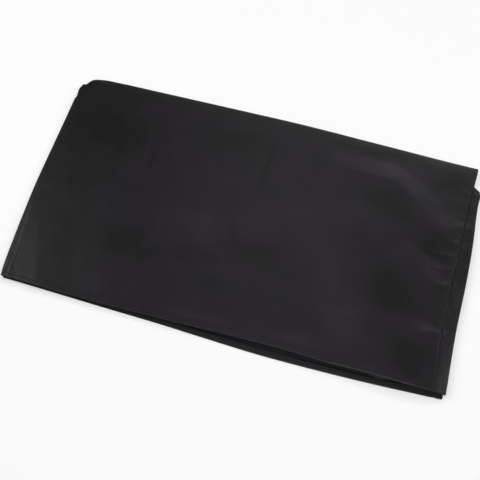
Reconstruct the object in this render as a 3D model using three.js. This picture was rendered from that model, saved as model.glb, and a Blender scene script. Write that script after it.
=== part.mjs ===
// A fitted cover for a loudspeaker, folded flat with its front panel up and its mouth towards -Y.
// Three pieces of coated cloth: one long strip (front, top and back panel) and two side panels.
// The strip runs back and forth in four layers, and the side panels are tucked in like bellows.
import * as THREE from 'three';
import { mergeVertices } from 'three/addons/utils/BufferGeometryUtils.js';

// Cloth, in millimetres
const CLOTH = 1.2;
const HEM_DEPTH = 10;
const HEM_STEP = 1.6;
const HEM_EXTRA = 0.4;
const HEM_PLACES = 2;
const HEM_LEVEL_FACE = 0.7;
const SEAM_GAP = 0.3;

// The folded layers, counted up from the surface that the cover lies on
const LAYER_STEP = 1.9;
const FOLD_RADIUS = LAYER_STEP / 2;
const BACK_LAYER = 0;
const LOWER_TUCK = 1;
const UPPER_TUCK = 2;
const FRONT_LAYER = 3;

// How the front panel stands off the layers under it, and sags where there are fewer
const LOFT = 0.4;
const LOFT_REACH = 20;
const SAG = { x: -4, y: -78, acrossX: 150, acrossY: 95, depth: 0.6 };
const MOUTH_REACH = 105;
const ON_THE_LINE = 0.001;

// The top panel is tucked in between front and back, in the back half
const TOP_TUCK_Y = 26;
const TOP_TUCK_LEFT = -313;
const TOP_TUCK_RIGHT = 309;

// The strip's own width, between the places where its columns are read from the tables below
const STRIP_LEFT = -321;
const STRIP_RIGHT = 315;

// The lower folds and seams lie a little further in than the upper ones
const LOWER_FOLD_SET_IN = 2;
const BACK_PANEL_LEFT = -315;
const BACK_PANEL_RIGHT = 308;

// The side panels end at the box corner, slanting from seam to fold
const SIDE_END_AT_SEAM = 146;
const SIDE_END_AT_FOLD = 140;
const LEFT_SIDE_END = 138;

// Outline of the folded cover seen from above: x along the long side, y towards the back fold
const BACK_FOLD = [
  { x: -318.5, y: 163 },
  { x: -310, y: 173.2 },
  { x: -294, y: 178.2 },
  { x: -266, y: 179.8 },
  { x: -200, y: 180.6 },
  { x: -40, y: 182 },
  { x: 30, y: 182.4 },
  { x: 160, y: 179.7 },
  { x: 316, y: 176.6 },
];
const LEFT_FOLD = [
  { y: -171, x: -320.1 },
  { y: -155, x: -321.8 },
  { y: -125, x: -323.2 },
  { y: -45, x: -324.9 },
  { y: -20, x: -324.9 },
  { y: 53, x: -322.4 },
  { y: 144, x: -319.9 },
];
const RIGHT_FOLD = [
  { y: -177, x: 319.4 },
  { y: -163, x: 319.7 },
  { y: -84, x: 320.4 },
  { y: -12, x: 323.8 },
  { y: 45, x: 325 },
  { y: 117, x: 323.7 },
  { y: 132, x: 324.8 },
  { y: 142, x: 323.2 },
];

// Where the strip's edges are sewn to the side panels, and past those the strip's own edges
const LEFT_SEAM = [
  { y: -171, x: -313.5 },
  { y: -100, x: -318 },
  { y: -40, x: -322.2 },
  { y: 53, x: -320.2 },
  { y: 140, x: -317.6 },
  { y: 152, x: -318.6 },
  { y: 165, x: -314.8 },
];
const RIGHT_SEAM = [
  { y: -171, x: 302 },
  { y: -117, x: 300.5 },
  { y: -45, x: 303 },
  { y: 69, x: 309 },
  { y: 146, x: 313.5 },
  { y: 177, x: 315.5 },
];

// Hems at the mouth: the front panel's waves a little, and the back panel's bows out past it
const UPPER_HEM = [
  { x: -320, y: -169.6 },
  { x: -250, y: -170.6 },
  { x: -168, y: -171.6 },
  { x: -100, y: -170.9 },
  { x: -22, y: -169.6 },
  { x: 23, y: -168.6 },
  { x: 60, y: -168.2 },
  { x: 110, y: -168.4 },
  { x: 134, y: -169.4 },
  { x: 160, y: -170.4 },
  { x: 200, y: -170 },
  { x: 240, y: -170.3 },
  { x: 285, y: -171.2 },
  { x: 300, y: -171.1 },
  { x: 318, y: -170.6 },
];
const LOWER_HEM = [
  { x: -320, y: -170.8 },
  { x: -253, y: -172.3 },
  { x: -168, y: -174.7 },
  { x: -85, y: -176.7 },
  { x: -2, y: -180 },
  { x: 60, y: -182.2 },
  { x: 118, y: -182.4 },
  { x: 200, y: -181.2 },
  { x: 250, y: -179.6 },
  { x: 285, y: -178 },
  { x: 305, y: -177.2 },
  { x: 318, y: -176.2 },
];
const TUCK_HEM = [
  { x: -320, y: -168.6 },
  { x: -165, y: -163 },
  { x: 158, y: -163 },
  { x: 206, y: -165 },
  { x: 224, y: -171.5 },
  { x: 234, y: -171.5 },
  { x: 250, y: -165 },
  { x: 294, y: -166 },
  { x: 320, y: -170.6 },
];

// How high the upper hem gapes
const MOUTH_LIFT = [
  { x: -326, lift: 0 },
  { x: -150, lift: 0.2 },
  { x: 20, lift: 0.7 },
  { x: 100, lift: 1.4 },
  { x: 140, lift: 2.4 },
  { x: 190, lift: 4.6 },
  { x: 235, lift: 5.8 },
  { x: 280, lift: 6.1 },
  { x: 302, lift: 4.8 },
  { x: 315, lift: 1.8 },
  { x: 324, lift: 0 },
];

// Soft ridges (up) and hollows (down) of the front panel. Each runs through its points, up by so much
// at each, and fades out over its own reach on the left hand and on the right hand of that way.
const CREASES = [
  // the long ridge near the back fold, and its bend down to the seam
  {
    left: 28,
    right: 44,
    points: [
      { x: 80, y: 122, up: 0 },
      { x: 126, y: 127, up: 1.5 },
      { x: 188, y: 124, up: 1.7 },
      { x: 216, y: 112, up: 1.5 },
      { x: 262, y: 74, up: 1.5 },
      { x: 302, y: 54, up: 1.3 },
    ],
  },
  // the hollow behind it, towards the box corner
  {
    left: 44,
    right: 30,
    points: [
      { x: 236, y: 146, up: 0 },
      { x: 280, y: 128, up: -0.4 },
      { x: 318, y: 118, up: -0.4 },
    ],
  },
  // two short ridges at the right seam
  {
    left: 28,
    right: 44,
    points: [
      { x: 208, y: 14, up: 0 },
      { x: 250, y: -6, up: 1.2 },
      { x: 302, y: -34, up: 1.5 },
    ],
  },
  {
    left: 16,
    right: 22,
    points: [
      { x: 248, y: -88, up: 0 },
      { x: 276, y: -93, up: 1.1 },
      { x: 302, y: -97, up: 0.9 },
    ],
  },
  // the edge of the slope that rises to the open mouth
  {
    left: 80,
    right: 36,
    points: [
      { x: 234, y: -168, up: 1.4 },
      { x: 190, y: -64, up: 2.4 },
      { x: 144, y: 20, up: 2 },
      { x: 108, y: 76, up: 0 },
    ],
  },
  // two soft pillows on either side of the middle
  {
    left: 80,
    right: 26,
    points: [
      { x: -176, y: -78, up: 0 },
      { x: -116, y: -70, up: 1.4 },
      { x: -62, y: -60, up: 1.8 },
      { x: -8, y: -46, up: 0 },
    ],
  },
  {
    left: 70,
    right: 26,
    points: [
      { x: -44, y: -36, up: 0 },
      { x: 4, y: -28, up: 1.2 },
      { x: 44, y: -20, up: 1.2 },
      { x: 84, y: -12, up: 0 },
    ],
  },
  // where the panel lifts onto its hem
  {
    left: 34,
    right: 8,
    points: [
      { x: 40, y: -171, up: 0 },
      { x: 80, y: -171, up: 1.6 },
      { x: 130, y: -171, up: 1.6 },
      { x: 164, y: -171, up: 0 },
    ],
  },
  {
    left: 26,
    right: 8,
    points: [
      { x: -116, y: -172, up: 0 },
      { x: -60, y: -171, up: 0.9 },
      { x: 30, y: -170, up: 0.9 },
      { x: 60, y: -170, up: 0 },
    ],
  },
  // the slope down to the left front corner
  {
    left: 36,
    right: 56,
    points: [
      { x: -262, y: -168, up: 1.3 },
      { x: -285, y: -110, up: 1.3 },
      { x: -304, y: -40, up: 0 },
    ],
  },
];

// How far in the side panels are tucked, from the mouth up to the box corner
const RIGHT_TUCK = [
  { y: -171, x: 158 },
  { y: -84, x: 168 },
  { y: -48, x: 205 },
  { y: -12, x: 295 },
  { y: 4, x: 314 },
  { y: 146, x: 314 },
];
const LEFT_TUCK = [
  { y: -171, x: -165 },
  { y: -84, x: -176 },
  { y: -48, x: -210 },
  { y: -12, x: -299 },
  { y: 4, x: -316.5 },
  { y: 146, x: -316.5 },
];

// Facets of each stretch
const STRIP_COLUMNS = 32;
const CORNER_SHARES = [0.012, 0.028];
const EVEN_FROM = 0.05;
const FRONT_FACETS = 22;
const TUCK_FACETS = 5;
const BACK_FACETS = 11;
const FOLD_FACETS = 4;
const SIDE_FACETS = 15;
const BAND_FACETS = 2;

const CLOTH_COLOUR = 0x1c1b1d;
const CLOTH_ROUGHNESS = 0.55;

const { clamp, lerp, smoothstep } = THREE.MathUtils;

// A table read along one column for the other, on a smooth line through its rows
function lineThrough(rows, along, value) {
  const places = rows.map((row) => row[along]);
  const values = rows.map((row) => row[value]);
  const line = new THREE.CubicInterpolant(places, values, 1);
  return (place) => line.evaluate(place)[0];
}

// The same with straight stretches between the rows
function straightThrough(rows, along, value) {
  const places = rows.map((row) => row[along]);
  const values = rows.map((row) => row[value]);
  const line = new THREE.LinearInterpolant(places, values, 1);
  return (place) => line.evaluate(place)[0];
}

const backFoldY = lineThrough(BACK_FOLD, 'x', 'y');
const leftFoldX = lineThrough(LEFT_FOLD, 'y', 'x');
const rightFoldX = lineThrough(RIGHT_FOLD, 'y', 'x');
const leftSeamX = lineThrough(LEFT_SEAM, 'y', 'x');
const rightSeamX = lineThrough(RIGHT_SEAM, 'y', 'x');
const upperHemY = lineThrough(UPPER_HEM, 'x', 'y');
const lowerHemY = lineThrough(LOWER_HEM, 'x', 'y');
const tuckHemY = lineThrough(TUCK_HEM, 'x', 'y');
const mouthLift = lineThrough(MOUTH_LIFT, 'x', 'lift');
const rightTuckX = straightThrough(RIGHT_TUCK, 'y', 'x');
const leftTuckX = straightThrough(LEFT_TUCK, 'y', 'x');

// A round hump that falls to nothing one reach from its middle
function hump(distance, reach) {
  const share = Math.min(Math.abs(distance) / reach, 1);
  return (1 - share * share) ** 2;
}

// The height of a crease at a place, from the nearest point on its line
function creaseAt(crease, x, y) {
  let nearest = Infinity;
  let height = 0;
  for (let i = 1; i < crease.points.length; i += 1) {
    const from = crease.points[i - 1];
    const to = crease.points[i];
    const runX = to.x - from.x;
    const runY = to.y - from.y;
    const run = Math.hypot(runX, runY);
    const offX = x - from.x;
    const offY = y - from.y;
    const share = clamp((offX * runX + offY * runY) / run ** 2, 0, 1);
    const distance = Math.hypot(offX - share * runX, offY - share * runY);
    if (distance < nearest) {
      nearest = distance;
      const side = (runX * offY - runY * offX) / (run * Math.max(distance, ON_THE_LINE));
      const reach = lerp(crease.right, crease.left, clamp((1 + side) / 2, 0, 1));
      height = lerp(from.up, to.up, smoothstep(share, 0, 1)) * hump(distance, reach);
    }
  }
  return height;
}

// How far the front panel stands above its flat folded place
function liftAt(x, y) {
  const fromFold = Math.min(backFoldY(x) - y, x - leftFoldX(y), rightFoldX(y) - x);
  const rise = smoothstep(fromFold, 0, LOFT_REACH);
  const folds = CREASES.reduce((sum, crease) => sum + creaseAt(crease, x, y), 0);
  const gape = mouthLift(x) * hump(Math.max(y - upperHemY(x), 0), MOUTH_REACH);
  const sag = SAG.depth * hump(x - SAG.x, SAG.acrossX) * hump(y - SAG.y, SAG.acrossY);
  return rise * Math.max(LOFT + folds, 0) + gape - sag;
}

// The middle of the cloth at a place in the folded stack, where layer runs from 0 up to 3
function inStack(x, y, layer) {
  const share = smoothstep(layer, UPPER_TUCK, FRONT_LAYER);
  const lift = share > 0 ? share * liftAt(x, y) : 0;
  return new THREE.Vector3(x, y, CLOTH / 2 + layer * LAYER_STEP + lift);
}

// Evenly spaced values after the first, up to the last
function steps(from, to, count) {
  return Array.from({ length: count }, (_, i) => lerp(from, to, (i + 1) / count));
}

// A level stretch of a folded path, and half a turn down to the next layer that bulges one way
function level(from, to, layer, count) {
  return steps(from, to, count).map((at) => ({ at, layer }));
}

function turn(at, bulge, layer) {
  return steps(0, Math.PI, FOLD_FACETS).map((angle) => ({
    at: at + bulge * FOLD_RADIUS * Math.sin(angle),
    layer: layer - (1 - Math.cos(angle)) / 2,
  }));
}

// A sheet of cloth bent from a closed box of facets. middle(row, column) is the middle of the
// cloth, and hem(row, column) is 1 where it is turned over and sewn. It faces along x across.
function sheet(rows, columns, middle, hem) {
  const box = new THREE.BoxGeometry(1, 1, 1, columns, 1, rows);
  box.deleteAttribute('normal');
  box.deleteAttribute('uv');
  const cloth = mergeVertices(box);
  const grid = [];
  for (let row = 0; row <= rows; row += 1) {
    grid.push(Array.from({ length: columns + 1 }, (_, column) => middle(row, column)));
  }
  const place = cloth.getAttribute('position');
  for (let i = 0; i < place.count; i += 1) {
    const column = Math.round((place.getX(i) + 0.5) * columns);
    const row = Math.round((place.getZ(i) + 0.5) * rows);
    const side = Math.sign(place.getY(i));
    const along = grid[Math.min(row + 1, rows)][column].clone().sub(grid[Math.max(row - 1, 0)][column]);
    const across = grid[row][Math.min(column + 1, columns)].clone();
    across.sub(grid[row][Math.max(column - 1, 0)]);
    const facing = along.cross(across).normalize().multiplyScalar(side);
    const extra = hem(row, column) * HEM_EXTRA * smoothstep(facing.z, HEM_LEVEL_FACE, 1);
    const point = grid[row][column].clone().addScaledVector(facing, CLOTH / 2 + extra);
    place.setXYZ(i, point.x, point.y, Math.max(point.z, 0));
  }
  cloth.computeVertexNormals();
  return cloth;
}

// A stretch with a hem starts at the edge of the cloth, then where the sewn fold steps down
function hemmed(hem, end, place, places) {
  if (place < HEM_PLACES) {
    return hem + place * (HEM_DEPTH - HEM_STEP);
  }
  return lerp(hem + HEM_DEPTH, end, (place - HEM_PLACES) / (places - HEM_PLACES));
}

// The strip's path from the upper hem to the lower one, at one place along the long side
function stripPath(x) {
  const upperFold = backFoldY(x) - CLOTH / 2 - FOLD_RADIUS;
  const lowerFold = upperFold - LOWER_FOLD_SET_IN;
  const tuck = TOP_TUCK_Y + FOLD_RADIUS;
  const front = Array.from({ length: FRONT_FACETS + HEM_PLACES + 1 }, (_, i) => ({
    at: hemmed(upperHemY(x), upperFold, i, FRONT_FACETS + HEM_PLACES),
    layer: FRONT_LAYER,
  }));
  const back = Array.from({ length: BACK_FACETS + HEM_PLACES }, (_, i) => ({
    at: hemmed(lowerHemY(x), lowerFold, i, BACK_FACETS + HEM_PLACES),
    layer: BACK_LAYER,
  }));
  return [
    ...front,
    ...turn(upperFold, 1, FRONT_LAYER),
    ...level(upperFold, tuck, UPPER_TUCK, TUCK_FACETS),
    ...turn(tuck, -1, UPPER_TUCK),
    ...level(tuck, lowerFold, LOWER_TUCK, TUCK_FACETS),
    ...turn(lowerFold, 1, LOWER_TUCK),
    ...back.reverse(),
  ];
}

// The strip's edge at one height in the stack: sewn in front, tucked in, and sewn again at the back
function stripEdge(seam, tuck, backPanel, layer) {
  if (layer >= UPPER_TUCK) {
    return lerp(tuck, seam, layer - UPPER_TUCK);
  }
  return lerp(backPanel, tuck, Math.min(layer, LOWER_TUCK));
}

function frontTopBackStrip() {
  const even = steps(EVEN_FROM, 1 - EVEN_FROM, STRIP_COLUMNS);
  const corner = CORNER_SHARES.map((share) => 1 - share).reverse();
  const shares = [0, ...CORNER_SHARES, EVEN_FROM, ...even, ...corner, 1];
  const paths = shares.map((share) => stripPath(lerp(STRIP_RIGHT, STRIP_LEFT, share)));
  const rows = paths[0].length - 1;
  const middle = (row, column) => {
    const { at: y, layer } = paths[column][row];
    const right = stripEdge(rightSeamX(y), TOP_TUCK_RIGHT, BACK_PANEL_RIGHT, layer);
    const left = stripEdge(leftSeamX(y), TOP_TUCK_LEFT, BACK_PANEL_LEFT, layer);
    return inStack(lerp(right, left, shares[column]), y, layer);
  };
  const hem = (row) => (row < HEM_PLACES || row > rows - HEM_PLACES ? 1 : 0);
  return sheet(rows, shares.length - 1, middle, hem);
}

// A side panel's path at one place along its seam: out to the fold, in, out again and under
function sidePath(side, y) {
  const upperFold = side.foldX(y) - side.out * (CLOTH / 2 + FOLD_RADIUS);
  const lowerFold = upperFold - side.out * LOWER_FOLD_SET_IN;
  const tuck = side.tuckX(y) + side.out * FOLD_RADIUS;
  const seam = side.seamX(y) + side.out * SEAM_GAP;
  return [
    { at: seam, layer: FRONT_LAYER },
    ...level(seam, upperFold, FRONT_LAYER, BAND_FACETS),
    ...turn(upperFold, side.out, FRONT_LAYER),
    ...level(upperFold, tuck, UPPER_TUCK, TUCK_FACETS),
    ...turn(tuck, -side.out, UPPER_TUCK),
    ...level(tuck, lowerFold, LOWER_TUCK, TUCK_FACETS),
    ...turn(lowerFold, side.out, LOWER_TUCK),
    ...level(lowerFold, side.backPanel + side.out * SEAM_GAP, BACK_LAYER, BAND_FACETS),
  ];
}

// A side panel's hem joins the hems of the layers that it runs between
function sideHemY(x, layer) {
  if (layer >= UPPER_TUCK) {
    return lerp(tuckHemY(x), upperHemY(x), layer - UPPER_TUCK);
  }
  return lerp(lowerHemY(x), tuckHemY(x), Math.min(layer, LOWER_TUCK));
}

function sideEndY(side, x, y, layer) {
  const onBand = layer === FRONT_LAYER ? (side.foldX(y) - x) / (side.foldX(y) - side.seamX(y)) : 0;
  return lerp(side.endAtFold, side.endAtSeam, clamp(onBand, 0, 1));
}

function sidePanel(side) {
  const places = SIDE_FACETS + HEM_PLACES;
  const middle = (row, column) => {
    const place = side.out > 0 ? column : places - column;
    const roughY = lerp(LOWER_HEM[0].y, side.endAtFold, place / places);
    const rough = sidePath(side, roughY)[row];
    const end = sideEndY(side, rough.at, roughY, rough.layer);
    const y = hemmed(sideHemY(rough.at, rough.layer), end, place, places);
    const { at: x, layer } = sidePath(side, y)[row];
    return inStack(x, y, layer);
  };
  const hem = (row, column) => ((side.out > 0 ? column : places - column) < HEM_PLACES ? 1 : 0);
  return sheet(sidePath(side, 0).length - 1, places, middle, hem);
}

const rightSide = {
  out: 1,
  seamX: rightSeamX,
  foldX: rightFoldX,
  tuckX: rightTuckX,
  backPanel: BACK_PANEL_RIGHT,
  endAtSeam: SIDE_END_AT_SEAM,
  endAtFold: SIDE_END_AT_FOLD,
};
const leftSide = {
  out: -1,
  seamX: leftSeamX,
  foldX: leftFoldX,
  tuckX: leftTuckX,
  backPanel: BACK_PANEL_LEFT,
  endAtSeam: LEFT_SIDE_END,
  endAtFold: LEFT_SIDE_END,
};

function clothPiece(name, geometry) {
  const material = new THREE.MeshStandardMaterial({
    color: CLOTH_COLOUR,
    roughness: CLOTH_ROUGHNESS,
    metalness: 0,
  });
  const piece = new THREE.Mesh(geometry, material);
  piece.name = name;
  return piece;
}

const cover = new THREE.Group();
cover.add(clothPiece('front_top_back_strip', frontTopBackStrip()));
cover.add(clothPiece('right_side_panel', sidePanel(rightSide)));
cover.add(clothPiece('left_side_panel', sidePanel(leftSide)));

export default cover;
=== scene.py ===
import bisect
import math

import bmesh
import bpy
from mathutils import Matrix, Vector, noise


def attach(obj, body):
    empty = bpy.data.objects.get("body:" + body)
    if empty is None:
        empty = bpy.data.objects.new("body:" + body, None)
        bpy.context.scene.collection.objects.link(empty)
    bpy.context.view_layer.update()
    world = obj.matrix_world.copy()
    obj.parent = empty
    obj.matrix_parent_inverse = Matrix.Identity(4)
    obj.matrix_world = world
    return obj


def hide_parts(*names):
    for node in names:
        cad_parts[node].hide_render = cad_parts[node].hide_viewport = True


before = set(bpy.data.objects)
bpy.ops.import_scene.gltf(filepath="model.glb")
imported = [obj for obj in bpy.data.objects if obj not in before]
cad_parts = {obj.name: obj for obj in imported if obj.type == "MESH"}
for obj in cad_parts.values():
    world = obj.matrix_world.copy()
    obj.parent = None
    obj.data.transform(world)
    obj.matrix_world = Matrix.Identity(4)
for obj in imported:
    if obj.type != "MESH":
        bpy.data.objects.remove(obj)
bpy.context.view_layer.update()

mm = 0.001


# Camera

view = {
    "lookAt": (-4.5, -26.6, 0.0),   # mm, on the surface that the cover lies on
    "distance": 953.3,
    "azimuth": 15.17,               # degrees, 0 looks along +Y
    "elevation": 69.48,
    "lens": 48.75,
    "sensor": 36.0,
    "clip": (0.01, 50.0),           # metres
}


def addCamera():
    azimuth = math.radians(view["azimuth"])
    elevation = math.radians(view["elevation"])
    level = math.cos(elevation)
    back = Vector((math.sin(azimuth) * level, -math.cos(azimuth) * level, math.sin(elevation)))
    data = bpy.data.cameras.new("camera")
    data.lens = view["lens"]
    data.sensor_width = view["sensor"]
    data.clip_start, data.clip_end = view["clip"]
    camera = bpy.data.objects.new("camera", data)
    bpy.context.scene.collection.objects.link(camera)
    camera.location = (Vector(view["lookAt"]) + back * view["distance"]) * mm
    camera.rotation_euler = back.to_track_quat("Z", "Y").to_euler()
    bpy.context.scene.camera = camera


addCamera()
print("camera placed")


# Curves and profiles

def lineThrough(rows):
    # a smooth curve through the rows, level past both ends
    places = [row[0] for row in rows]
    values = [row[1] for row in rows]

    def read(at):
        if at <= places[0]:
            return values[0]
        if at >= places[-1]:
            return values[-1]
        after = bisect.bisect_right(places, at)
        start, end = places[after - 1], places[after]
        first, last = values[after - 1], values[after]
        # past the first and the last row the curve is mirrored
        earlier, earlierValue = 2 * start - end, last
        if after > 1:
            earlier, earlierValue = places[after - 2], values[after - 2]
        later, laterValue = 2 * end - start, first
        if after + 1 < len(places):
            later, laterValue = places[after + 1], values[after + 1]
        half = (end - start) / 2
        pullBack = half / (start - earlier)
        pullOn = half / (later - end)
        p = (at - start) / (end - start)
        return (
            (-pullBack * p ** 3 + 2 * pullBack * p ** 2 - pullBack * p) * earlierValue
            + ((1 + pullBack) * p ** 3 + (-1.5 - 2 * pullBack) * p ** 2 + (-0.5 + pullBack) * p + 1) * first
            + ((-1 - pullOn) * p ** 3 + (1.5 + pullOn) * p ** 2 + 0.5 * p) * last
            + (pullOn * p ** 3 - pullOn * p ** 2) * laterValue
        )

    return read


def straightThrough(rows):
    # the same with straight lines
    places = [row[0] for row in rows]
    values = [row[1] for row in rows]

    def read(at):
        after = clamp(bisect.bisect_right(places, at), 1, len(places) - 1)
        share = clamp((at - places[after - 1]) / (places[after] - places[after - 1]))
        return lerp(values[after - 1], values[after], share)

    return read


def lerp(a, b, share):
    return a + (b - a) * share


def clamp(value, low=0.0, high=1.0):
    return max(low, min(high, value))


def smoothstep(value, low, high):
    share = clamp((value - low) / (high - low))
    return share * share * (3 - 2 * share)


def hump(distance, reach):
    share = min(abs(distance) / reach, 1)
    return (1 - share * share) ** 2


def bell(distance, reach):
    return math.exp(-(distance / reach) ** 2)


def flatSided(distance, reach, rounding=0.15):
    # falls from 1 to 0 with an even slope, rounded only at its top and foot
    share = min(abs(distance) / reach, 1)
    if share < rounding:
        fall = share * share / (2 * rounding)
    elif share < 1 - rounding:
        fall = share - rounding / 2
    else:
        fall = 1 - rounding - (1 - share) ** 2 / (2 * rounding)
    return 1 - fall / (1 - rounding)


def drift(x, y, pattern):
    # slow random change, another one for each pattern number
    return noise.noise(Vector((x, y, pattern)))


# The folded stack, in millimetres. It repeats the solids' own outline, seams, hems and folds.

cloth = {
    "thick": 0.6,
    "layerStep": 2.1,       # from the middle of one layer to the next
    "seamGap": 0.3,
    # how strong the wear and the painted highlight are at the back folds, the mouth and the side folds, and
    # how far in
    "wearAndHighlightBack": (0.4, 7.0),
    "wearAndHighlightHem": (0.25, 3.0),
    "wearAndHighlightSide": (0.3, 7.0),
}
foldRadius = cloth["layerStep"] / 2

hems = {
    "depth": 10.0,
    "ply": 0.75,            # from the middle of the cloth to the middle of its turned hem
    "bend": (180, 135, 90, 45),
    "stitch": 6.2,          # from the edge of the hem to its stitching
    "pucker": 0.3,          # height of the waves at the stitching, and how far they reach
    "puckerReach": 9.0,
    "shortWave": 9.0,       # lengths of the two waves, and the share of the long one
    "longWave": 24.0,
    "longShare": 0.6,
    "tight": 0.7,           # how tight the stitching is, and how that changes along it
    "tightChange": 0.6,
    "tightWave": 37.0,
    "roll": 0.1,            # swell between the edge and the stitching
    "groove": 0.16,
    "grooveReach": 1.1,
    "step": 0.1,            # how far the hidden ply lifts the cloth, and where that ends
    "stepEnd": (-2.0, 3.0),
    "pattern": 3.0,
}

backFoldY = lineThrough([
    (-318.5, 163), (-310, 173.2), (-294, 178.2), (-266, 179.8), (-200, 180.6), (-40, 182),
    (30, 182.4), (160, 179.7), (316, 176.6),
])
leftFoldX = lineThrough([
    (-171, -320.1), (-155, -321.8), (-125, -323.2), (-45, -324.9), (-20, -324.9), (53, -322.4),
    (144, -319.9),
])
rightFoldX = lineThrough([
    (-177, 319.4), (-163, 319.7), (-84, 320.4), (-12, 323.8), (45, 325), (117, 323.7),
    (132, 324.8), (142, 323.2),
])
leftSeamX = lineThrough([
    (-171, -313.5), (-100, -318), (-40, -322.2), (53, -320.2), (140, -317.6), (152, -318.6),
    (165, -314.8),
])
rightSeamX = lineThrough([
    (-171, 302), (-117, 300.5), (-45, 303), (69, 309), (146, 313.5), (177, 315.5),
])
upperHemY = lineThrough([
    (-320, -169.6), (-250, -170.6), (-168, -171.6), (-100, -170.9), (-22, -169.6), (23, -168.6),
    (60, -168.2), (110, -168.4), (134, -169.4), (160, -170.4), (200, -170), (240, -170.3),
    (285, -171.2), (300, -171.1), (318, -170.6),
])
lowerHemY = lineThrough([
    (-320, -170.8), (-253, -172.3), (-168, -174.7), (-85, -176.7), (-2, -180), (60, -182.2),
    (118, -182.4), (200, -181.2), (250, -179.6), (285, -178), (305, -177.2), (318, -176.2),
])
tuckHemY = lineThrough([
    (-320, -168.6), (-165, -163), (158, -163), (206, -165), (224, -171.5), (234, -171.5),
    (250, -165), (294, -166), (320, -170.6),
])
mouthLift = lineThrough([
    (-326, 0), (-150, 0.2), (20, 0.7), (100, 1.4), (140, 2.4), (190, 4.6), (235, 5.8),
    (280, 6.1), (302, 4.8), (315, 1.8), (324, 0),
])

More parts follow.
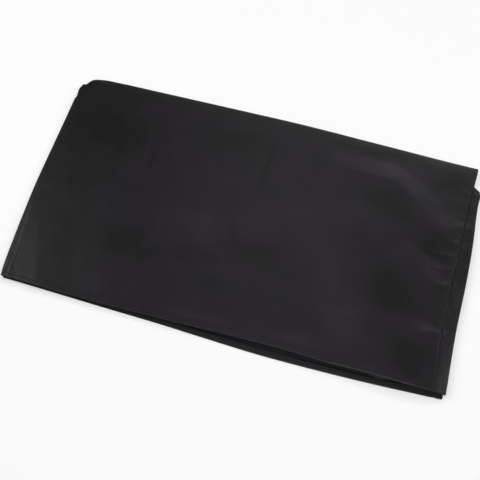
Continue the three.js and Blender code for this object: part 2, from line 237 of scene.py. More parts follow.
frontPanel = {
    "loft": 0.4,            # how far it stands off the layers under it, and how far in from its edges
    "loftReach": 14.0,
    "gapeReach": 105.0,     # how far back the open mouth lifts it
    "sag": {"x": -4, "y": -78, "acrossX": 150, "acrossY": 95, "depth": 0.6},
    # soft ridges (up) and hollows (down): how far each fades out on the left hand and on the
    # right hand of its way, and its points in turn, x, y, up
    "creases": [
        # the long ridge near the back fold, and its bend down to the seam
        (30, 50, [
            (60, 128, 0), (120, 126, 1.5), (188, 124, 1.7), (216, 112, 1.5), (262, 74, 1.5),
            (302, 54, 1.3),
        ]),
        # the hollow behind it, towards the box corner
        (44, 30, [(236, 146, 0), (280, 128, -0.4), (318, 118, -0.4)]),
        # two short ridges at the right seam
        (34, 44, [(208, 14, 0), (250, -6, 1.4), (302, -34, 1.6)]),
        (24, 22, [(246, -92, 0), (270, -96, 0.9), (288, -98, 1.1), (302, -98, 0.4)]),
        # the edge of the slope that rises to the open mouth
        (80, 58, [(234, -168, 1.6), (190, -64, 2.6), (144, 20, 2.2), (108, 76, 0)]),
        # two soft pillows on either side of the middle
        (80, 22, [(-176, -78, 0), (-116, -68, 1.7), (-62, -60, 2.2), (-10, -46, 0)]),
        (62, 24, [(-60, -36, 0), (4, -28, 1.4), (44, -20, 1.4), (100, -12, 0)]),
        # where the panel lifts onto its hem
        (34, 8, [(20, -171, 0), (80, -171, 1.8), (130, -171, 1.8), (184, -171, 0)]),
        (26, 8, [(-146, -172, 0), (-60, -171, 0.9), (30, -170, 0.9), (60, -170, 0)]),
        # the slope down to the left front corner
        (36, 56, [(-262, -168, 1.1), (-285, -110, 1.1), (-304, -40, 0)]),
    ],
    # the same, finer than the solid shows
    "fineCreases": [
        (5, 5, [(5, 150, 0), (4, 130, -0.5), (3, 80, -0.6), (2, 52, 0)]),
        (6, 6, [(-19, 16, 0), (-20, -6, -0.4), (-22, -40, 0)]),
        (4, 4, [(144, 108, 0), (146, 99, -0.4), (148, 90, 0)]),
        (3, 3, [(150, -104, 0), (170, -99, 0.3), (190, -92, 0)]),
        (6, 6, [(-190, 140, 0), (-172, 70, -0.3), (-178, -20, 0)]),
        (5, 7, [(-128, -58, 0), (-84, -66, -0.3), (-30, -50, -0.35), (-8, -44, 0)]),
        # short wrinkles that run from the right seam onto the panel
        (5, 7, [(303, 46, 0.5), (284, 52, 0.4), (258, 62, 0)]),
        (6, 4, [(303, 26, 0.55), (280, 24, 0.4), (250, 28, 0)]),
        (4, 6, [(302, 6, 0.5), (284, 2, 0.45), (262, 6, 0)]),
        (6, 5, [(301, -18, 0.5), (280, -25, 0.4), (244, -22, 0)]),
        (5, 5, [(299, -52, 0.5), (276, -48, 0.35), (248, -52, 0)]),
        (7, 5, [(298, -74, 0.45), (280, -70, 0.4), (262, -74, 0)]),
        (5, 6, [(297, -112, 0.4), (274, -116, 0.3), (246, -112, 0)]),
        # and from the hem
        (5, 6, [(76, -166, 0.4), (84, -152, 0.35), (98, -138, 0)]),
        (5, 5, [(118, -166, 0.4), (122, -152, 0.3), (118, -136, 0)]),
        (6, 5, [(166, -166, 0.4), (180, -154, 0.3), (206, -146, 0)]),
        (5, 5, [(-34, -166, 0.35), (-22, -156, 0.25), (-4, -150, 0)]),
        (5, 5, [(-180, -166, 0.3), (-172, -148, 0.3), (-150, -128, 0)]),
    ],
    # height, length across, length along and pattern of its slow waves, and of its crinkle
    "waves": [(0.38, 85, 62, 2.7), (0.19, 34, 30, 5.2)],
    "waveFade": (-1.0, 16.0),
    "crinkle": (0.14, 11, 10, 8.8),
    # painted sheen (up) and painted shade (down): soft spots that make the colour lighter and darker,
    # x, y, half length, half width, turn in degrees, amount
    "paintedSheenShade": [
        (-82, -24, 74, 44, 12, 0.9), (-60, -18, 34, 24, 0, 0.4), (12, 4, 56, 34, 10, 0.8),
        (70, 38, 48, 40, -20, 0.8), (118, -24, 76, 46, -50, 1.0), (158, -98, 78, 48, -58, 1.2),
        (100, -150, 52, 11, 3, 1.4), (-30, -155, 84, 8, 2, 1.0), (-196, -142, 60, 26, 0, 0.5),
        (180, 141, 76, 17, 2, 1.1), (280, 72, 34, 22, -40, 0.6), (276, -4, 34, 12, -35, 1.5),
        (279, -84, 17, 12, 0, 1.6), (-296, -130, 26, 46, -14, 0.6), (311, -96, 12, 34, 0, 0.6),
        (313, -158, 12, 30, 0, -1.0), (-236, 96, 84, 60, 10, -1.0), (-160, -76, 56, 40, 0, -1.0),
        (38, -48, 36, 26, 0, -0.6), (286, 142, 40, 28, -10, -1.0), (222, -46, 46, 62, 25, -1.0),
        (266, 34, 40, 28, -30, -1.0), (262, -130, 40, 34, 0, -1.0), (200, 84, 60, 34, -25, -0.8),
        (-60, 124, 120, 44, 4, -0.6), (-40, -100, 90, 26, 0, -0.4), (-270, 10, 44, 60, 0, -0.5),
        (190, 169, 130, 12, 0, -0.9), (3, 100, 54, 6, 90, -1.0), (-21, -10, 30, 6, 90, -0.9),
        (147, 99, 11, 4, 90, -1.0), (170, -98, 22, 3, 14, 1.2),
    ],
    # how far the edges of the painted sheen and shade spots stray in x and y, over what length, and their
    # patterns
    "paintedSheenShadeStray": [(9, 26, 20.0), (7, 26, 30.0)],
    # amount, length across, length along and pattern of a cloudy painted sheen and shade over the whole
    # panel
    "paintedSheenShadeDrift": (0.5, 30, 24, 40.0),
    "paintedSheenShadeRange": (-1.0, 1.5),
    "fromLayer": 2.6,       # how many layers up the cloth that faces up begins
}

seams = {
    "pucker": 1.3,          # height at the stitching
    "puckerReach": 13.0,
    "shortWave": (0.7, 8.0, 0.0),   # share, length and pattern of its waves
    "longWave": (0.9, 21.0, 4.0),
    "fan": 0.5,             # share of the small wrinkles that fan out from the stitching
    "fanWave": (5.5, 16.0),
    "fanReach": 11.0,
    "allowance": 0.34,      # how far the cloth under the seam lifts it
    "allowanceStart": (0.3, 1.2),
    "allowanceEnd": (-0.2, 1.4),
    "rows": (1.7, 6.3),     # the two rows of stitching, from the seam
    "groove": 0.3,
    "grooveReach": 0.6,
    "dip": 0.55,            # how far the cloth turns down into the seam
    "dipReach": 0.8,
    "wander": 0.7,          # how far the rows stray from their line, and over what length
    "wanderWave": 14.0,
    "endY": 150.0,
    "rightPattern": 11.0,
    "leftPattern": 19.0,
}
# how strongly each seam shows along its length
rightSeamShows = lineThrough([
    (-171, 0.15), (-138, 0.2), (-118, 0.6), (-96, 0.95), (-30, 1), (40, 1), (70, 0.6),
    (100, 0.3), (146, 0.35),
])
leftSeamShows = lineThrough([(-171, 0.3), (-120, 0.15), (-60, 0.05), (-20, 0.02), (146, 0)])


def creaseAt(crease, x, y):
    left, right, points = crease
    furthest = max(left, right)
    nearest, height = math.inf, 0.0
    for (fromX, fromY, fromUp), (toX, toY, toUp) in zip(points, points[1:]):
        if not (min(fromX, toX) - furthest < x < max(fromX, toX) + furthest):
            continue
        if not (min(fromY, toY) - furthest < y < max(fromY, toY) + furthest):
            continue
        runX, runY, offX, offY = toX - fromX, toY - fromY, x - fromX, y - fromY
        run = math.hypot(runX, runY)
        share = clamp((offX * runX + offY * runY) / run ** 2)
        distance = math.hypot(offX - share * runX, offY - share * runY)
        if distance < nearest:
            nearest = distance
            side = (runX * offY - runY * offX) / (run * max(distance, 0.001))
            reach = lerp(right, left, clamp((1 + side) / 2))
            height = lerp(fromUp, toUp, smoothstep(share, 0, 1)) * flatSided(distance, reach)
    return height


def insideFolds(x, y):
    return min(backFoldY(x) - y, x - leftFoldX(y), rightFoldX(y) - x)


def solidLift(x, y):
    # the forms that the solid shows too
    rise = smoothstep(insideFolds(x, y), 0, frontPanel["loftReach"])
    folds = sum(creaseAt(crease, x, y) for crease in frontPanel["creases"])
    gape = mouthLift(x) * hump(max(y - upperHemY(x), 0), frontPanel["gapeReach"])
    sag = frontPanel["sag"]
    hollow = sag["depth"] * hump(x - sag["x"], sag["acrossX"]) * hump(y - sag["y"], sag["acrossY"])
    return rise * max(frontPanel["loft"] + folds, 0) + gape - hollow


def seamWaves(away, along, pattern):
    shortShare, shortLength, shortPattern = seams["shortWave"]
    longShare, longLength, longPattern = seams["longWave"]
    fanAlong, fanAway = seams["fanWave"]
    wave = shortShare * drift(along / shortLength, pattern, shortPattern)
    wave += longShare * drift(along / longLength, pattern, longPattern)
    fan = drift(along / fanAlong, pattern, away / fanAway) * bell(away, seams["fanReach"])
    return wave * math.exp(-away / seams["puckerReach"]) + seams["fan"] * fan


def seamLift(inward, along, shows, pattern):
    # inward is the distance from the seam on the panel, and negative on the side band
    away = abs(inward)
    lift = seams["pucker"] * seamWaves(away, along, pattern)
    lift -= seams["dip"] * bell(away, seams["dipReach"])
    if inward >= 0:
        first, second = (
            row + seams["wander"] * drift(along / seams["wanderWave"], pattern, row)
            for row in seams["rows"]
        )
        endFrom, endTo = (second + end for end in seams["allowanceEnd"])
        under = seams["allowance"] * smoothstep(inward, *seams["allowanceStart"])
        grooves = bell(inward - first, seams["grooveReach"]) + bell(inward - second, seams["grooveReach"])
        lift += under * (1 - smoothstep(inward, endFrom, endTo))
        lift -= seams["groove"] * grooves
    return shows * lift


def hemLift(fromEdge, along):
    pattern = hems["pattern"]
    wave = drift(along / hems["shortWave"], pattern, 1.0)
    wave += hems["longShare"] * drift(along / hems["longWave"], pattern, 7.0)
    tight = hems["tight"] + hems["tightChange"] * drift(along / hems["tightWave"], pattern, 12.0)
    fromStitch = fromEdge - hems["stitch"]
    halfway = hems["stitch"] / 2
    endFrom, endTo = (hems["depth"] + end for end in hems["stepEnd"])
    lift = hems["pucker"] * wave * math.exp(-abs(fromStitch) / hems["puckerReach"])
    lift += hems["roll"] * tight * hump(fromEdge - halfway, halfway)
    lift -= hems["groove"] * tight * bell(fromStitch, hems["grooveReach"])
    lift += hems["step"] * (1 - smoothstep(fromEdge, endFrom, endTo))
    return lift


def fineLift(x, y):
    # the forms that only this mesh shows
    fade = smoothstep(insideFolds(x, y), *frontPanel["waveFade"])
    lift = 0.0
    for height, acrossLength, alongLength, pattern in frontPanel["waves"]:
        lift += height * fade * drift(x / acrossLength, y / alongLength, pattern)
    height, acrossLength, alongLength, pattern = frontPanel["crinkle"]
    lift += height * drift(x / acrossLength, y / alongLength, pattern)
    lift += sum(creaseAt(crease, x, y) for crease in frontPanel["fineCreases"])
    lift += hemLift(max(y - upperHemY(x), 0), x)
    if y < seams["endY"]:
        lift += seamLift(rightSeamX(y) - x, y, rightSeamShows(y), seams["rightPattern"])
        lift += seamLift(x - leftSeamX(y), y, leftSeamShows(y), seams["leftPattern"])
    return lift


def paintedSheenShadeAt(x, y):
    # painted sheen (above 0) and painted shade (below 0) at a point of the front panel
    strayX, strayY = (
        far * drift(x / length, y / length, pattern) for far, length, pattern in frontPanel["paintedSheenShadeStray"]
    )
    total = 0.0
    for atX, atY, halfLong, halfWide, turn, amount in frontPanel["paintedSheenShade"]:
        cosine, sine = math.cos(math.radians(turn)), math.sin(math.radians(turn))
        offX, offY = x + strayX - atX, y + strayY - atY
        along = cosine * offX + sine * offY
        across = -sine * offX + cosine * offY
        total += amount * hump(math.hypot(along / halfLong, across / halfWide), 1)
    amount, acrossLength, alongLength, pattern = frontPanel["paintedSheenShadeDrift"]
    total += amount * drift(x / acrossLength, y / alongLength, pattern)
    return clamp(total, *frontPanel["paintedSheenShadeRange"])


def inStack(x, y, layer):
    # layer 0 is the back panel, 1 and 2 are the tucks, 3 is the front panel
    z = cloth["thick"] / 2 + layer * cloth["layerStep"]
    if layer > 2:
        z += smoothstep(layer, 2, 3) * (solidLift(x, y) + fineLift(x, y))
    return Vector((x, y, z))


# Making a sheet

def facingAt(lines, i, j, side):
    along = lines[min(i + 1, len(lines) - 1)][j] - lines[max(i - 1, 0)][j]
    across = lines[i][min(j + 1, len(lines[i]) - 1)] - lines[i][max(j - 1, 0)]
    return along.cross(across).normalized() * side


def withHem(lines, count, side):
    # turns the first lines of a sheet over to the inside, one ply under themselves
    ply = hems["ply"]
    turned = []
    for i in range(count - 1, 0, -1):
        turned.append([point - facingAt(lines, i, j, side) * ply for j, point in enumerate(lines[i])])
    for degrees in hems["bend"]:
        angle = math.radians(degrees)
        bend = []
        for j, point in enumerate(lines[0]):
            facing = facingAt(lines, 0, j, side)
            out = (lines[0][j] - lines[1][j]).normalized()
            bend.append(point - facing * ply / 2 * (1 - math.cos(angle)) + out * ply / 2 * math.sin(angle))
        turned.append(bend)
    return turned + lines


def running(points):
    total = [0.0]
    for before, here in zip(points, points[1:]):
        total.append(total[-1] + (here - before).length)
    return total


def addPiece(name, bm):
    mesh = bpy.data.meshes.new(name)
    bm.to_mesh(mesh)
    bm.free()
    piece = bpy.data.objects.new(name, mesh)
    bpy.context.scene.collection.objects.link(piece)
    return piece


def sheetMesh(name, lines, wearAndHighlight, paintedSheenShade, side):
    # a grid moved onto the lines, with a UV map of its flat cut in metres
    acrossCount, alongCount = len(lines[0]), len(lines)
    bm = bmesh.new()
    bmesh.ops.create_grid(bm, x_segments=acrossCount - 1, y_segments=alongCount - 1, size=1)
    flatAcross = running(lines[alongCount // 4])
    flatAlong = running([line[acrossCount // 2] for line in lines])
    uvLayer = bm.loops.layers.uv.new("flatCut")
    wearAndHighlightLayer = bm.verts.layers.float.new("edgeWearAndHighlight")
    # a per-point amount of painted sheen and shade for the colour
    paintedSheenShadeLayer = bm.verts.layers.float.new("paintedSheenShade")
    cells = {}
    for vert in bm.verts:
        j = round((vert.co.x + 1) / 2 * (acrossCount - 1))
        i = round((vert.co.y + 1) / 2 * (alongCount - 1))
        cells[vert] = (i, j)
    for vert, (i, j) in cells.items():
        vert.co = lines[i][j] * mm
        vert[wearAndHighlightLayer] = wearAndHighlight(i, j)
        vert[paintedSheenShadeLayer] = paintedSheenShade(i, j)
    for face in bm.faces:
        face.smooth = True
        for loop in face.loops:
            i, j = cells[loop.vert]
            loop[uvLayer].uv = (flatAcross[j] * mm, flatAlong[i] * mm)
    if side > 0:
        bmesh.ops.reverse_faces(bm, faces=bm.faces)
    piece = addPiece(name, bm)
    thickness = piece.modifiers.new("thickness", "SOLIDIFY")
    thickness.thickness = cloth["thick"] * mm
    thickness.offset = 0
    return piece


def spread(start, end, count, denseStart=(), denseEnd=()):
    # places from start to end, with named distances near each end and even steps between
    first = [start + d for d in denseStart]
    last = [end - d for d in reversed(denseEnd)]
    low = first[-1] if first else start
    high = last[0] if last else end
    between = [lerp(low, high, (i + 1) / (count + 1)) for i in range(count)]
    return first + between + last


def foldWearAndHighlight(lines):
    # how much wear and painted highlight each point has: most at the back folds and at the edges of the
    # hems
    def wearAndHighlight(i, j):
        point = lines[i][j]
        fromBack = backFoldY(point.x) - point.y
        fromHem = point.y - upperHemY(point.x)
        fromSide = min(rightFoldX(point.y) - point.x, point.x - leftFoldX(point.y))
        kinds = ((fromBack, "wearAndHighlightBack"), (fromHem, "wearAndHighlightHem"), (fromSide, "wearAndHighlightSide"))
        return max(cloth[kind][0] * hump(distance, cloth[kind][1]) for distance, kind in kinds)
    return wearAndHighlight


def upperPaintedSheenShade(lines):
    # only the cloth that faces up has the painted sheen and shade spots
    def paintedSheenShade(i, j):
        point = lines[i][j]
        facesUp = point.z > frontPanel["fromLayer"] * cloth["layerStep"]
        return paintedSheenShadeAt(point.x, point.y) if facesUp else 0.0
    return paintedSheenShade


# The strip: front, top and back panel in one length of cloth

strip = {
    "right": 315.0,
    "left": -321.0,
    "tuckY": 26.0,
    "tuckLeft": -313.0,
    "tuckRight": 309.0,
    "backLeft": -315.0,
    "backRight": 308.0,
    "lowerFoldIn": 2.0,
    "foldWander": 0.7,      # how unevenly the lower fold lies, and over what length
    "foldWave": 45.0,
    "columns": 176,
    "frontRows": 100,
    "tuckRows": 9,
    "backRows": 26,
    "foldRows": 7,
}
# how far from the edge the closer lines of the mesh lie at a hem and at a seam
hemLines = (0, 0.7, 1.6, 2.8, 4.2, 5.2, 5.7, 6.2, 6.7, 7.6, 9.2)
seamLines = (0, 0.5, 1.1, 1.7, 2.3, 3.2, 4.6, 5.6, 6.3, 7.0, 8.2, 10, 12.5)
hemCount = len(hemLines)


def turnDown(at, bulge, layer, count):
    for i in range(1, count + 1):
        angle = math.pi * i / (count + 1)
        yield at + bulge * foldRadius * math.sin(angle), layer - (1 - math.cos(angle)) / 2


def stripEdge(seam, tuck, backPanel, layer):
    if layer >= 2:
        return lerp(tuck, seam, layer - 2)
    return lerp(backPanel, tuck, min(layer, 1))


def stripPath(x):
    count = strip["foldRows"]
    uneven = strip["foldWander"] * drift(x / strip["foldWave"], 1.5, 0.0)
    upperFold = backFoldY(x) - cloth["thick"] / 2 - foldRadius
    lowerFold = upperFold - strip["lowerFoldIn"] + uneven
    tuck = strip["tuckY"] + foldRadius
    path = [(y, 3) for y in spread(upperHemY(x), upperFold, strip["frontRows"], hemLines, (0,))]
    path += turnDown(upperFold, 1, 3, count)
    path += [(y, 2) for y in spread(upperFold, tuck, strip["tuckRows"], (0,), (0,))]
    path += turnDown(tuck, -1, 2, count)
    path += [(y, 1) for y in spread(tuck, lowerFold, strip["tuckRows"], (0,), (0,))]
    path += turnDown(lowerFold, 1, 1, count)
    backPlaces = spread(lowerHemY(x), lowerFold, strip["backRows"], hemLines, (0,))
    path += [(y, 0) for y in reversed(backPlaces)]
    return path


def stripLines():
    width = strip["right"] - strip["left"]
    distances = spread(0, width, strip["columns"], seamLines, seamLines)
    shares = [distance / width for distance in distances]
    paths = [stripPath(lerp(strip["right"], strip["left"], share)) for share in shares]
    lines = []
    for i in range(len(paths[0])):
        line = []
        for share, path in zip(shares, paths):
            y, layer = path[i]
            right = stripEdge(rightSeamX(y), strip["tuckRight"], strip["backRight"], layer)
            left = stripEdge(leftSeamX(y), strip["tuckLeft"], strip["backLeft"], layer)
            line.append(inStack(lerp(right, left, share), y, layer))
        lines.append(line)
    return lines


def makeStrip():
    lines = withHem(stripLines(), hemCount, 1)
    lines = withHem(lines[::-1], hemCount, -1)[::-1]
    return sheetMesh("front_top_back_cloth", lines, foldWearAndHighlight(lines), upperPaintedSheenShade(lines), 1)


stripPiece = makeStrip()
print("strip made:", len(stripPiece.data.polygons), "faces")


# The side panels, sewn to the strip and tucked in like bellows

sidePanels = {
    "rows": 120,
    "foldColumns": 7,
    "tuckColumns": 18,
    "underColumns": 4,
    "bandShares": (0, 0.06, 0.13, 0.22, 0.35, 0.5, 0.65, 0.8, 0.9, 1),
    "hemY": -175.0,         # about where the panels begin, and their length
    "length": 320.0,
    "endLines": (0, 1, 2.2, 4),
    "endDrop": 2.4,         # how far the band's back end sinks into the stack, and over what length
    "endReach": 9.0,
}
rightSide = {
    "out": 1,
    "seamX": rightSeamX,
    "foldX": rightFoldX,
    "backPanel": strip["backRight"],
    "tuckX": straightThrough([(-171, 158), (-84, 168), (-48, 205), (-12, 295), (4, 314), (146, 314)]),
    "endAtSeam": 146.0,
    "endAtFold": 140.0,
}
leftSide = {
    "out": -1,
    "seamX": leftSeamX,
    "foldX": leftFoldX,
    "backPanel": strip["backLeft"],
    "tuckX": straightThrough([
        (-171, -165), (-84, -176), (-48, -210), (-12, -299), (4, -316.5), (146, -316.5),
    ]),
    "endAtSeam": 138.0,
    "endAtFold": 138.0,
}


def evenRun(start, end, count, layer):
    return [(lerp(start, end, i / count), layer) for i in range(count + 1)]


def sidePath(side, y):
    out = side["out"]
    count = sidePanels["foldColumns"]
    seam = side["seamX"](y) + out * cloth["seamGap"]
    upperFold = side["foldX"](y) - out * (cloth["thick"] / 2 + foldRadius)
    lowerFold = upperFold - out * strip["lowerFoldIn"]
    tuck = side["tuckX"](y) + out * foldRadius
    under = side["backPanel"] + out * cloth["seamGap"]
    path = [(lerp(seam, upperFold, share), 3) for share in sidePanels["bandShares"]]
    path += turnDown(upperFold, out, 3, count)
    path += evenRun(upperFold, tuck, sidePanels["tuckColumns"], 2)
    path += turnDown(tuck, -out, 2, count)
    path += evenRun(tuck, lowerFold, sidePanels["tuckColumns"], 1)
    path += turnDown(lowerFold, out, 1, count)
    path += evenRun(lowerFold, under, sidePanels["underColumns"], 0)
    return path


def sideHemY(x, layer):
    if layer >= 2:
        return lerp(tuckHemY(x), upperHemY(x), layer - 2)
    return lerp(lowerHemY(x), tuckHemY(x), min(layer, 1))


def sideEndY(side, x, y, layer):
    if layer < 3:
        return side["endAtFold"]
    onBand = (side["foldX"](y) - x) / (side["foldX"](y) - side["seamX"](y))
    return lerp(side["endAtFold"], side["endAtSeam"], clamp(onBand))


def sideLines(side):
    denseStart = [d / sidePanels["length"] for d in hemLines]
    denseEnd = [d / sidePanels["length"] for d in sidePanels["endLines"]]
    places = spread(0, 1, sidePanels["rows"], denseStart, denseEnd)
    columns = len(sidePath(side, 0))
    lines = []
    for place in places:
        line = []
        for j in range(columns):
            roughY = lerp(sidePanels["hemY"], side["endAtFold"], place)
            x, layer = sidePath(side, roughY)[j]
            start = sideHemY(x, layer)
            end = sideEndY(side, x, roughY, layer)
            y = start + place * (end - start)
            x, layer = sidePath(side, y)[j]
            point = inStack(x, y, layer)
            if layer > 2:
                sunk = smoothstep(y, end - sidePanels["endReach"], end) ** 2
                point.z -= sidePanels["endDrop"] * (layer - 2) * sunk
            line.append(point)
        lines.append(line)
    return lines


def sideSheet(name, side):
    lines = withHem(sideLines(side), hemCount, -side["out"])
    piece = sheetMesh(name, lines, foldWearAndHighlight(lines), upperPaintedSheenShade(lines), -side["out"])
    print(name, "made:", len(piece.data.polygons), "faces")
    return piece


rightPiece = sideSheet("right_side_cloth", rightSide)
leftPiece = sideSheet("left_side_cloth", leftSide)


# Stitching, each stitch a small grain of thread laid along its row

stitching = {
    "pitch": 3.4,
    "size": (1.35, 0.2, 0.16),      # half of each stitch's length, width and height
    "up": 0.08,                     # how far its middle stands over the cloth
    "segments": 6,
    "rings": 4,
    # where the rows start and end
    "upperHem": (-316, 320),
    "lowerHem": (-312, 306),
    "seam": (-164, 142),
}


def frontTop(x, y):
    return inStack(x, y, 3) + Vector((0, 0, cloth["thick"] / 2))


def backTop(x, y):
    return Vector((x, y, cloth["thick"] + hems["ply"]))


def addStitches(name, places):
    # places are points along a row, and each stitch lies on the surface between two of them
    bm = bmesh.new()
    size = Matrix.Diagonal((*stitching["size"], 1))
    for before, here, after in zip(places, places[1:], places[2:]):
        along = (after - before).normalized()
        side = along.cross(Vector((0, 0, 1))).normalized()
        turn = Matrix((along, side, side.cross(along))).transposed().to_4x4()
        lay = Matrix.Translation(here + Vector((0, 0, stitching["up"]))) @ turn @ size
        bmesh.ops.create_uvsphere(
            bm, u_segments=stitching["segments"], v_segments=stitching["rings"], radius=1,
            matrix=Matrix.Scale(mm, 4) @ lay,
        )
    for face in bm.faces:
        face.smooth = True
    return addPiece(name, bm)


def steps(start, end):
    count = max(2, round(abs(end - start) / stitching["pitch"]))
    return [lerp(start, end, i / count) for i in range(count + 1)]


def hemStitches(name, hemY, surface, ends):
    return addStitches(name, [surface(x, hemY(x) + hems["stitch"]) for x in steps(*ends)])


stitchPieces = [hemStitches("upper_hem_stitches", upperHemY, frontTop, stitching["upperHem"])]
for number, fromSeam in enumerate(seams["rows"], 1):
    for label, seamX, inward in (("right", rightSeamX, -1), ("left", leftSeamX, 1)):
        row = [frontTop(seamX(y) + inward * fromSeam, y) for y in steps(*stitching["seam"])]
        stitchPieces.append(addStitches(label + "_seam_stitches_" + str(number), row))
stitchPieces.append(hemStitches("lower_hem_stitches", lowerHemY, backTop, stitching["lowerHem"]))
print("stitching made")


# Materials, built with small helpers for the nodes that repeat

def newMaterial(name):
    material = bpy.data.materials.new(name)
    material.use_nodes = True
    return material, material.node_tree, material.node_tree.nodes["Principled BSDF"]


def addNoise(tree, vector, scale, detail):
    node = tree.nodes.new("ShaderNodeTexNoise")
    node.inputs["Scale"].default_value = scale
    node.inputs["Detail"].default_value = detail
    tree.links.new(vector, node.inputs["Vector"])
    return node


def addRange(tree, value, source=(0, 1), target=(0, 1), interpolation="LINEAR"):
    node = tree.nodes.new("ShaderNodeMapRange")
    node.interpolation_type = interpolation
    node.inputs["From Min"].default_value, node.inputs["From Max"].default_value = source
    node.inputs["To Min"].default_value, node.inputs["To Max"].default_value = target
    tree.links.new(value, node.inputs["Value"])
    return node.outputs["Result"]


def addProduct(tree, first, second):
    node = tree.nodes.new("ShaderNodeMath")
    node.operation = "MULTIPLY"
    tree.links.new(first, node.inputs[0])
    tree.links.new(second, node.inputs[1])
    return node.outputs[0]


def addRamp(tree, factor, low, high):
    node = tree.nodes.new("ShaderNodeValToRGB")
    node.color_ramp.elements[0].color = (*low, 1)
    node.color_ramp.elements[1].color = (*high, 1)
    tree.links.new(factor, node.inputs["Fac"])
    return node.outputs["Color"]


def addAttribute(tree, name):
    node = tree.nodes.new("ShaderNodeAttribute")
    node.attribute_name = name
    return node.outputs["Fac"]


clothLook = {
    # a painted colour cast of the light: the cool colour, a little lighter, lies at the left end and along
    # the back fold
    "coolColour": (0.0048, 0.0048, 0.0057),
    "warmColour": (0.0057, 0.0038, 0.0060),
    # where the warm colour begins, in metres, and how far its edge strays
    "warmFromLeft": (-0.19, -0.10),
    "warmFromBack": (0.190, 0.168),
    "warmFromRight": (0.366, 0.350),
    "stray": (0.12, 0.03, 0),
    "cloudScale": 11,
    "cloudDetail": 3,
    "paintedSheenShadeStrength": (0.25, 2.1),   # what the colour is multiplied by under the darkest painted shade and the lightest painted sheen
    "wearAndHighlightColour": (0.040, 0.041, 0.043),
    "mottleScale": 160,
    "mottleDetail": 4,
    "roughness": (0.33, 0.41),
    "specular": 0.25,
    "threadScale": 560,
    "weaveStrength": 0.25,
    "weaveDepth": 0.0001,
}
threadLook = {
    "darkColour": (0.005, 0.005, 0.0055),
    "lightColour": (0.014, 0.0135, 0.0145),
    "twistScale": 900,
    "twistDetail": 2,
    "roughness": 0.55,
    "specular": 0.2,
}


def addTint(tree, place):
    # a painted colour cast of the light: cooler and a little lighter at the left end and along the back
    # fold, warmer over the rest, with a cloudy edge
    clouds = addNoise(tree, place, clothLook["cloudScale"], clothLook["cloudDetail"])
    strayed = tree.nodes.new("ShaderNodeVectorMath")
    strayed.operation = "MULTIPLY_ADD"
    strayed.inputs[1].default_value = clothLook["stray"]
    tree.links.new(clouds.outputs["Color"], strayed.inputs[0])
    tree.links.new(place, strayed.inputs[2])
    where = tree.nodes.new("ShaderNodeSeparateXYZ")
    tree.links.new(strayed.outputs["Vector"], where.inputs["Vector"])
    fromLeft = addRange(tree, where.outputs["X"], clothLook["warmFromLeft"], interpolation="SMOOTHSTEP")
    fromBack = addRange(tree, where.outputs["Y"], clothLook["warmFromBack"], interpolation="SMOOTHSTEP")
    fromRight = addRange(tree, where.outputs["X"], clothLook["warmFromRight"])
    warm = addProduct(tree, addProduct(tree, fromLeft, fromBack), fromRight)
    tint = addRamp(tree, warm, clothLook["coolColour"], clothLook["warmColour"])
    # the painted sheen and shade spots make the colour lighter and darker
    strength = addRange(
        tree, addAttribute(tree, "paintedSheenShade"), frontPanel["paintedSheenShadeRange"], clothLook["paintedSheenShadeStrength"],
    )
    sheenShadePainted = tree.nodes.new("ShaderNodeVectorMath")
    sheenShadePainted.operation = "SCALE"
    tree.links.new(tint, sheenShadePainted.inputs[0])
    tree.links.new(strength, sheenShadePainted.inputs["Scale"])
    return sheenShadePainted.outputs["Vector"]


def addWeave(tree):
    # two crossing waves of threads, in the metres of the flat cut
    cut = tree.nodes.new("ShaderNodeUVMap")
    cut.uv_map = "flatCut"
    threads = []
    for direction in ("X", "Y"):
        thread = tree.nodes.new("ShaderNodeTexWave")
        thread.bands_direction = direction
        thread.inputs["Scale"].default_value = clothLook["threadScale"]
        tree.links.new(cut.outputs["UV"], thread.inputs["Vector"])
        threads.append(thread.outputs["Fac"])
    bump = tree.nodes.new("ShaderNodeBump")
    bump.inputs["Strength"].default_value = clothLook["weaveStrength"]
    bump.inputs["Distance"].default_value = clothLook["weaveDepth"]
    tree.links.new(addProduct(tree, *threads), bump.inputs["Height"])
    return bump.outputs["Normal"]


def clothMaterial():
    material, tree, shader = newMaterial("coatedCloth")
    shader.inputs["Specular IOR Level"].default_value = clothLook["specular"]
    place = tree.nodes.new("ShaderNodeTexCoord").outputs["Object"]
    mottle = addNoise(tree, place, clothLook["mottleScale"], clothLook["mottleDetail"]).outputs["Fac"]
    # lighter along the folds and hem edges, partly wear of the coating and partly painted highlight,
    # mottled
    mix = tree.nodes.new("ShaderNodeMix")
    mix.data_type = "RGBA"
    mix.inputs["B"].default_value = (*clothLook["wearAndHighlightColour"], 1)
    tree.links.new(addProduct(tree, addAttribute(tree, "edgeWearAndHighlight"), mottle), mix.inputs["Factor"])
    tree.links.new(addTint(tree, place), mix.inputs["A"])
    tree.links.new(mix.outputs["Result"], shader.inputs["Base Color"])
    gloss = addRange(tree, mottle, target=clothLook["roughness"])
    tree.links.new(gloss, shader.inputs["Roughness"])
    tree.links.new(addWeave(tree), shader.inputs["Normal"])
    return material


def threadMaterial():
    material, tree, shader = newMaterial("sewingThread")
    shader.inputs["Roughness"].default_value = threadLook["roughness"]
    shader.inputs["Specular IOR Level"].default_value = threadLook["specular"]
    place = tree.nodes.new("ShaderNodeTexCoord").outputs["Object"]
    twist = addNoise(tree, place, threadLook["twistScale"], threadLook["twistDetail"])
    colour = addRamp(tree, twist.outputs["Fac"], threadLook["darkColour"], threadLook["lightColour"])
    tree.links.new(colour, shader.inputs["Base Color"])
    return material


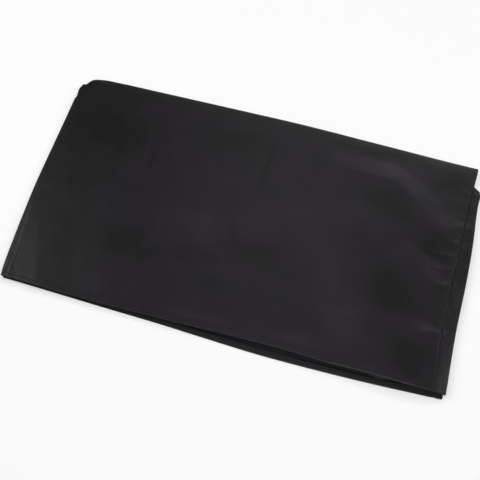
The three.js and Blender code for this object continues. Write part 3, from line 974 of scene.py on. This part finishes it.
coatedCloth = clothMaterial()
sewingThread = threadMaterial()
for piece in (stripPiece, rightPiece, leftPiece):
    piece.data.materials.append(coatedCloth)
for piece in stitchPieces:
    piece.data.materials.append(sewingThread)
print("materials made")


# Floor and light

studio = {
    "floorColour": (0.96, 0.96, 0.96),
    "floorRoughness": 0.9,
    "floorSize": 6.0,
    "worldColour": (1, 1, 1),
    "worldStrength": 0.1,
    # place in metres, size, watts
    "lamps": [
        ("frontLamp", (0.5, -1.0, 2.5), 1.2, 33),
        ("lowRightLamp", (2.2, 0.5, 1.5), 1.2, 14),
        ("lowLeftLamp", (-2.2, 0.2, 1.4), 1.2, 18),
        ("backRightLamp", (0.75, 2.15, 1.75), 0.7, 13),
        ("rightLamp", (0.9, 1.5, 2.25), 0.5, 1.5),
        ("backLeftLamp", (-0.5, 2.1, 1.8), 0.7, 5),
        ("overLamp", (-0.15, 1.0, 2.55), 0.7, 5),
        ("leftLamp", (-1.8, 0.1, 2.1), 0.8, 9),
    ],
}


def addFloor():
    bm = bmesh.new()
    bmesh.ops.create_grid(bm, x_segments=1, y_segments=1, size=studio["floorSize"] / 2)
    floor = addPiece("floor", bm)
    paint, _, shader = newMaterial("paleFloor")
    shader.inputs["Base Color"].default_value = (*studio["floorColour"], 1)
    shader.inputs["Roughness"].default_value = studio["floorRoughness"]
    floor.data.materials.append(paint)


def addLight():
    world = bpy.data.worlds.new("studio")
    world.use_nodes = True
    background = world.node_tree.nodes["Background"]
    background.inputs["Color"].default_value = (*studio["worldColour"], 1)
    background.inputs["Strength"].default_value = studio["worldStrength"]
    bpy.context.scene.world = world
    for name, place, size, watts in studio["lamps"]:
        data = bpy.data.lights.new(name, "AREA")
        data.size = size
        data.energy = watts
        lamp = bpy.data.objects.new(name, data)
        bpy.context.scene.collection.objects.link(lamp)
        lamp.location = place
        lamp.rotation_euler = Vector(place).to_track_quat("Z", "Y").to_euler()
    bpy.context.scene.view_settings.view_transform = "Standard"


addFloor()
addLight()
print("studio made")


# What each piece is

for piece in (stripPiece, rightPiece, leftPiece, *stitchPieces):
    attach(piece, "root")
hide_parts("front_top_back_strip")
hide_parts("right_side_panel")
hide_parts("left_side_panel")
